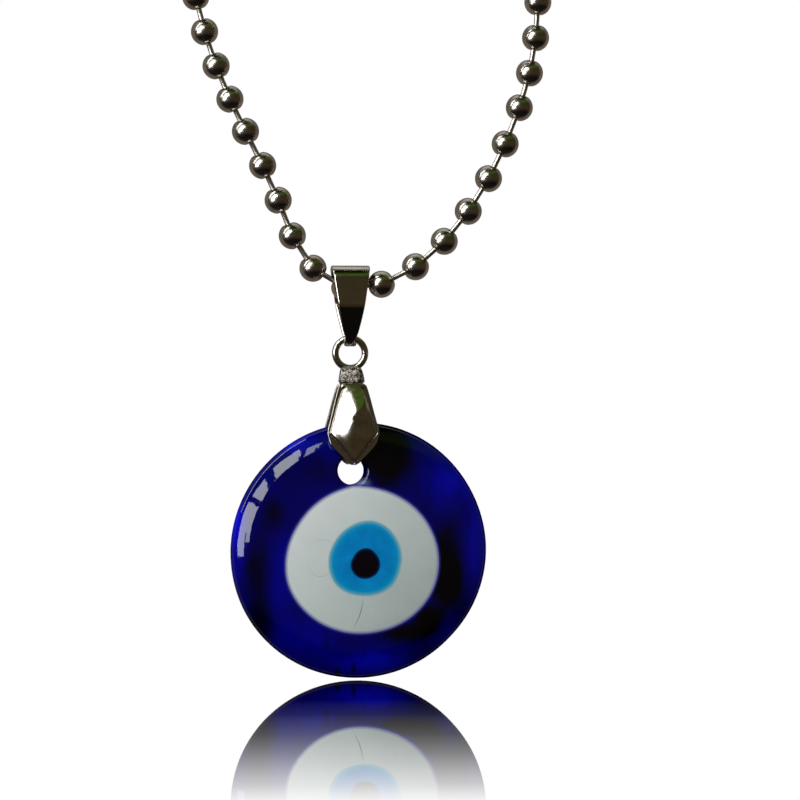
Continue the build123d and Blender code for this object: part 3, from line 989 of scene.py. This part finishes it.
def build_cobalt():
    """The disc: domed face with a pocket for the white, rolled rim, flat back and the drilled hole."""
    far = 5.0
    white_points = np.array(loop(WHITE_OUTLINE, WHITE_MIDDLE, SPOT_SAMPLES * 4))

    def hole_ring(out):
        return circle(*HOLE[:2], HOLE[2] + out, HOLE_SAMPLES)

    def from_white(x, z):
        return float(np.hypot(white_points[:, 0] - x, white_points[:, 1] - z).min())

    def outside_white(x, z, margin=0.0):
        reach = outline_radius(WHITE_OUTLINE, x, z, WHITE_MIDDLE)
        return hypot(x - WHITE_MIDDLE[0], z - WHITE_MIDDLE[1]) > reach + margin

    # domed face
    white_loop = loop(WHITE_OUTLINE, WHITE_MIDDLE, SPOT_SAMPLES)
    inner = []
    r = FACE_END_R - 0.10
    while r > 5.0:
        samples = RIM_SAMPLES if r > 11 else 216
        inner += [p for p in disc_ring(r, samples) if outside_white(*p, 0.62) and from_hole(*p) > 0.85]
        r -= 0.10 if r > 11.8 else 0.28
    for grow in (0.05, 0.12, 0.20, 0.32, 0.46):
        clear = 0.03 if grow < 0.3 else 0.5
        inner += [p for p in loop(WHITE_OUTLINE, WHITE_MIDDLE, SPOT_SAMPLES, grow) if from_hole(*p) > clear]
    for turn in range(1, 11):
        out = HOLE_ROUNDING * (1 - cos(radians(9 * turn)))
        inner += [p for p in hole_ring(out) if outside_white(*p, 0.05)]
    for out in (0.58, 0.72):
        inner += [p for p in hole_ring(out) if outside_white(*p, 0.5)]
    flat, faces, index = filled([white_loop, hole_ring(0.0), disc_ring(FACE_END_R, RIM_SAMPLES)], inner,
                                lambda x, z: outside_white(x, z) and from_hole(x, z) > 0)
    points = [(x, face_y(x, z), z) for x, z in flat]
    distance = [from_white(x, z) for x, z in flat]
    faces = facing_y(points, faces, -1)

    def add_points(places):
        base = len(points)
        points.extend(places)
        distance.extend([far] * len(places))
        return list(range(base, base + len(places)))

    # rim
    previous = [index[SPOT_SAMPLES + HOLE_SAMPLES + k] for k in range(RIM_SAMPLES)]
    for r, y in rim_profile():
        ring = add_points([(x, y, z) for x, z in disc_ring(r, RIM_SAMPLES)])
        faces += strip(ring, previous)
        previous = ring

    # back
    back_inner = []
    for r in (12.4, 11, 9.5, 8, 6.5, 5, 3.5, 2):
        back_inner += [p for p in disc_ring(r, 96) if from_hole(*p) > 0.7]
    flat, back_faces, back_index = filled([disc_ring(BACK_EDGE_R, RIM_SAMPLES), hole_ring(0.25)], back_inner,
                                          lambda x, z: from_hole(x, z) > 0.24)
    numbers = add_points([(x, BACK_Y, z) for x, z in flat])
    back_faces = [tuple(numbers[k] for k in f) for f in back_faces]
    faces += facing_y(points, back_faces, 1)
    faces += strip([numbers[back_index[k]] for k in range(RIM_SAMPLES)], previous)

    # hole wall, rounded at the back
    previous = [index[SPOT_SAMPLES + k] for k in range(HOLE_SAMPLES)]
    for out, y in ((0, -0.9), (0, 0.0), (0, 1.2), (0, 1.55), (0.06, 1.70), (0.14, 1.77), (0.25, BACK_Y)):
        ring = add_points([(x, y, z) for x, z in hole_ring(out)])
        faces += strip(previous, ring)
        previous = ring

    # pocket under the white
    lip = [index[k] for k in range(SPOT_SAMPLES)]
    sharp = list(zip(lip, lip[1:] + lip[:1]))
    floor_ring = add_points([(x, WHITE_FLOOR + 0.02, z) for x, z in white_loop])
    faces += strip(lip, floor_ring)
    faces.append(tuple(floor_ring))
    piece("fused_cobalt", points, faces, cobalt_material, "cobalt_glass", sharp,
          {"from_white": distance})


build_cobalt()


def build_spot(name, node, material, spot, hollow=None):
    """One colour fused into the next: its face follows the disc's, and it fills its own pocket."""
    outer, outer_middle, floor = spot
    inner, inner_middle, inner_floor = hollow or (None, None, None)
    samples = SPOT_SAMPLES
    outer_loop = loop(outer, outer_middle, samples)
    inner_loop = loop(inner, inner_middle, samples) if inner else [outer_middle] * samples
    gap = sum(dist(a, b) for a, b in zip(outer_loop, inner_loop)) / samples
    near = [0.0, 0.05, 0.11, 0.18, 0.26, 0.36, 0.48]
    far = 9.0
    shares = [d / gap for d in near]
    middle_steps = max(3, int((gap - 2 * near[-1]) / 0.3))
    shares += [near[-1] / gap + (1 - 2 * near[-1] / gap) * k / middle_steps for k in range(1, middle_steps)]
    shares += [1 - d / gap for d in reversed(near)]
    if not inner:
        shares = [s for s in shares if s < 0.97]
    points = []
    to_outer = []
    to_inner = []
    for share in shares:
        for (ox, oz), (ix, iz) in zip(outer_loop, inner_loop):
            x = ox + (ix - ox) * share
            z = oz + (iz - oz) * share
            points.append((x, face_y(x, z), z))
            to_outer.append(dist((x, z), (ox, oz)))
            to_inner.append(dist((x, z), (ix, iz)) if inner else far)
    rows = len(shares)
    faces = [tuple(reversed(f)) for f in rows_to_faces(rows, samples)]
    outer_edge = range(samples)
    inner_edge = range((rows - 1) * samples, rows * samples)
    sharp = [(k, (k + 1) % samples) for k in outer_edge]

    def add_points(places, out):
        base = len(points)
        points.extend(places)
        to_outer.extend([out] * len(places))
        to_inner.extend([far] * len(places))
        return range(base, base + len(places))

    bottom = add_points([(x, floor, z) for x, z in outer_loop], 0.0)
    faces += strip(outer_edge, bottom)
    if inner:
        sharp += [(inner_edge[k], inner_edge[(k + 1) % samples]) for k in range(samples)]
        pocket = add_points([(x, inner_floor, z) for x, z in inner_loop], far)
        faces += strip(pocket, inner_edge)
        faces.append(tuple(pocket))
    else:
        tip = add_points([(outer_middle[0], face_y(*outer_middle), outer_middle[1])], gap)[0]
        faces += [(inner_edge[(k + 1) % samples], tip, inner_edge[k]) for k in range(samples)]
    faces.append(tuple(reversed(bottom)))
    piece(name, points, faces, material, node, sharp, {"to_outer": to_outer, "to_inner": to_inner})


white_spot = (WHITE_OUTLINE, WHITE_MIDDLE, WHITE_FLOOR)
iris_spot = (IRIS_OUTLINE, IRIS_MIDDLE, LIGHT_BLUE_FLOOR)
pupil_spot = (PUPIL_OUTLINE, PUPIL_MIDDLE, BLACK_FLOOR)
build_spot("fused_white", "white_glass", white_material, white_spot, iris_spot)
build_spot("fused_light_blue", "light_blue_glass", light_blue_material, iris_spot, pupil_spot)
build_spot("fused_black", "black_glass", black_material, pupil_spot)


# ---- studio ----

azimuth = radians(VIEW_AZIMUTH)
towards_camera = Vector((-sin(azimuth), -cos(azimuth), 0))
to_left = Vector((-cos(azimuth), sin(azimuth), 0))
upwards = Vector((0, 0, 1))
WHITE = (1, 1, 1, 1)

# the window's panes: clock angles (90 up, 180 left), angles off the view line, and brightness
PANES = [
    (156, 173, 33, 60, 6.5),
    (172.5, 180, 33, 43, 6.0),
    (172.5, 187, 46, 60, 6.5),
    (141.5, 151.5, 33, 58, 6.5),
    (116, 134, 33, 57, 6.5),
    (101, 111, 33, 50, 4.5),
    (112, 163, 75, 81, 6.0),
]
PANE_DISTANCE = 420.0
PANE_COLUMNS = 6
LAMP_DISTANCE = 500.0


def pane_direction(clock, off):
    clock = radians(clock)
    off = radians(off)
    sideways = to_left * -cos(clock) + upwards * sin(clock)
    return towards_camera * cos(off) + sideways * sin(off)


def build_panes():
    middle = Vector(VIEW_MIDDLE)
    for number, (clock_low, clock_high, off_low, off_high, brightness) in enumerate(PANES):
        points = []
        for off in (off_low, off_high):
            for c in range(PANE_COLUMNS + 1):
                clock = clock_low + (clock_high - clock_low) * c / PANE_COLUMNS
                points.append((middle + pane_direction(clock, off) * PANE_DISTANCE) * MM)
        mesh = bpy.data.meshes.new(f"window_pane_{number}")
        mesh.from_pydata(points, [], rows_to_faces(2, PANE_COLUMNS + 1, closed=False))
        material, n = bare_material(f"window_light_{number}")
        n.surface(n.glow((0.97, 0.99, 1.0, 1), brightness))
        mesh.materials.append(material)
        obj = placed_object(f"window_pane_{number}", mesh)
        obj.visible_camera = False


build_panes()


def build_soft_light(name, sideways, height, power):
    """A broad soft lamp that fills the colours but doesn't show as a highlight."""
    data = bpy.data.lights.new(name, "AREA")
    data.shape = "DISK"
    data.size = 0.30
    data.energy = power
    obj = placed_object(name, data)
    aside = radians(sideways)
    raised = radians(height)
    level = towards_camera * cos(aside) + to_left * sin(aside)
    middle = Vector(VIEW_MIDDLE)
    obj.location = (middle + (level * cos(raised) + upwards * sin(raised)) * LAMP_DISTANCE) * MM
    obj.rotation_euler = (obj.location - middle * MM).to_track_quat("Z", "Y").to_euler()
    obj.visible_glossy = False


build_soft_light("soft_key", 38, 38, 0.42)
build_soft_light("soft_fill", -40, 5, 0.26)


def build_world():
    """White behind the object; in front a dim room with something green overhead."""
    world = bpy.data.worlds.new("studio")
    bpy.context.scene.world = world
    world.use_nodes = True
    n = Nodes(world.node_tree)
    direction = n.add("TexCoord").outputs["Generated"]
    split = n.split(direction)
    height = n.math("ADD", n.math("MULTIPLY", split["Z"], 0.5), 0.5)
    room = n.ramp(height, [
        (0.0, (0.012, 0.010, 0.008)), (0.26, (0.003, 0.003, 0.003)), (0.30, (0.030, 0.021, 0.012)),
        (0.50, (0.060, 0.042, 0.022)), (0.74, (0.040, 0.034, 0.018)), (0.80, (0.030, 0.045, 0.010)),
        (0.85, (0.075, 0.118, 0.012)), (0.93, (0.050, 0.085, 0.010)), (0.96, (0.004, 0.004, 0.003))])
    wall = n.ramp(height, [
        (0.0, (0.17, 0.14, 0.12)), (0.40, (0.21, 0.18, 0.15)), (0.5, (0.18, 0.155, 0.13)),
        (0.82, (0.17, 0.16, 0.14)), (1.0, (0.80, 0.78, 0.74))])
    seen = n.mix(n.step(split["Y"], -0.05, 0.35), room, wall)
    # the part of the white backdrop that the floor mirrors
    backdrop = (-towards_camera + upwards * 0.08).normalized()
    nearness = n.vector("DOT_PRODUCT", direction, backdrop, "Value")
    seen = n.mix(n.step(nearness, 0.978, 0.986), seen, WHITE)
    background = world.node_tree.nodes["Background"]
    n.put(background.inputs["Color"], n.mix(n.add("LightPath").outputs["Is Camera Ray"], seen, WHITE))
    background.inputs["Strength"].default_value = 1.0


build_world()


# how strongly the floor mirrors, at shares of MIRROR_REACH in front of the object
MIRROR_FADE = [(0.0, 1.0), (0.2, 1.0), (0.33, 0.985), (0.43, 0.945), (0.49, 0.915), (0.56, 0.853),
               (0.63, 0.771), (0.70, 0.655), (0.76, 0.535), (0.82, 0.40), (0.88, 0.19), (0.93, 0.04),
               (0.96, 0.0)]
MIRROR_REACH = 0.2
MIRROR_MIDDLE_X = -0.007
FLOOR_REACH = 3.0


def build_floor():
    """A pale glossy floor. It mirrors the object at a low angle, less and less towards the front."""
    far = FLOOR_REACH
    corners = [(x, y, FLOOR_Z * MM) for x, y in ((-far, -far), (far, -far), (far, far), (-far, far))]
    mesh = bpy.data.meshes.new("floor")
    mesh.from_pydata(corners, [], [(0, 1, 2, 3)])
    material, n = bare_material("pale_floor")
    split = n.split(n.add("TexCoord").outputs["Object"])
    mirror = n.ramp(n.math("MULTIPLY", split["Y"], -1 / MIRROR_REACH),
                    [(place, (share,) * 3) for place, share in MIRROR_FADE])
    low_angle = n.step(n.facing(), 0.885, 0.915, 0.04, 1.0)
    in_front = n.step(split["Y"], 0.01, 0.06, 1.0, 0.0)
    across = n.math("ABSOLUTE", n.math("ADD", split["X"], -MIRROR_MIDDLE_X))
    near_middle = n.step(across, 0.025, 0.033, 1.0, 0.0)
    region = n.math("MULTIPLY", in_front, near_middle)
    gloss = n.add("BsdfGlossy", {"Color": WHITE, "Roughness": 0.012}).outputs[0]
    share = n.math("MULTIPLY", n.math("MULTIPLY", mirror, low_angle), region)
    n.surface(n.add("MixShader", {0: share, 1: n.glow(WHITE), 2: gloss}).outputs[0])
    mesh.materials.append(material)
    obj = placed_object("floor", mesh)
    obj.visible_glossy = False
    obj.visible_diffuse = False


build_floor()


def build_camera():
    """A long lens, level with the middle of the picture and a little to the left."""
    data = bpy.data.cameras.new("camera")
    data.sensor_width = 36.0
    data.lens = data.sensor_width * VIEW_DISTANCE / VIEW_WIDTH
    data.clip_end = 20.0
    obj = placed_object("camera", data)
    obj.location = (Vector(VIEW_MIDDLE) + towards_camera * VIEW_DISTANCE) * MM
    obj.rotation_euler = (-towards_camera).to_track_quat("-Z", "Y").to_euler()
    bpy.context.scene.camera = obj


build_camera()
bpy.context.scene.view_settings.view_transform = "Standard"
